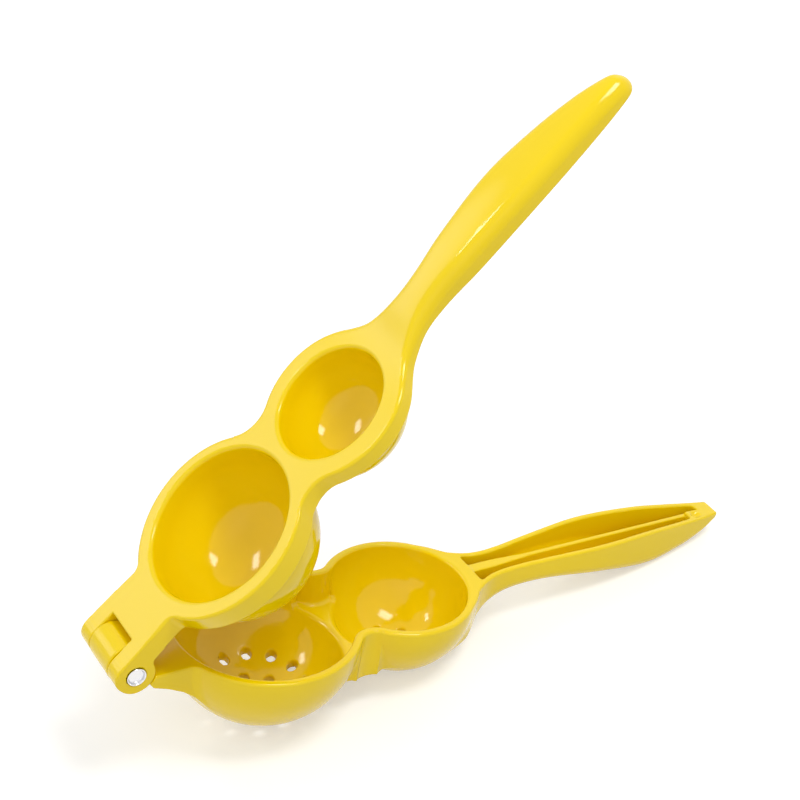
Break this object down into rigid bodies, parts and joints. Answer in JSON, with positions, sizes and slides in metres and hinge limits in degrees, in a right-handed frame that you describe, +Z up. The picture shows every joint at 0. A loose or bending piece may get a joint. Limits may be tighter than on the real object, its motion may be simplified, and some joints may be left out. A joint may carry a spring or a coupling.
{
  "type": "hinged citrus squeezer",
  "caption": "Hinged hand squeezer for halved lemons and limes: a press arm with domed cups closes on a strainer arm with matching bowls, joined by a pin at one end.",
  "frame": {"origin": "middle of the small flat on which the large strainer bowl stands, on the table plane", "axes": "+X along the table from the hinge end to the handles; +Y along the hinge pin; +Z up"},
  "size_m": [0.2741, 0.0746, 0.2235],
  "materials": {
    "enamel": "glossy yellow enamel on cast aluminium",
    "pin_steel": "polished steel"
  },
  "bodies": {
    "strainer": {"strainer_arm": "enamel"},
    "press": {"press_arm": "enamel", "hinge_pin": "pin_steel"}
  },
  "joints": [
    {"name": "hinge", "type": "hinge", "parent": "strainer", "child": "press", "pos_m": [-0.0564, 0, 0.04871], "axis": [0, -1, 0], "range_deg": [-46.4, 103.6]}
  ]
}
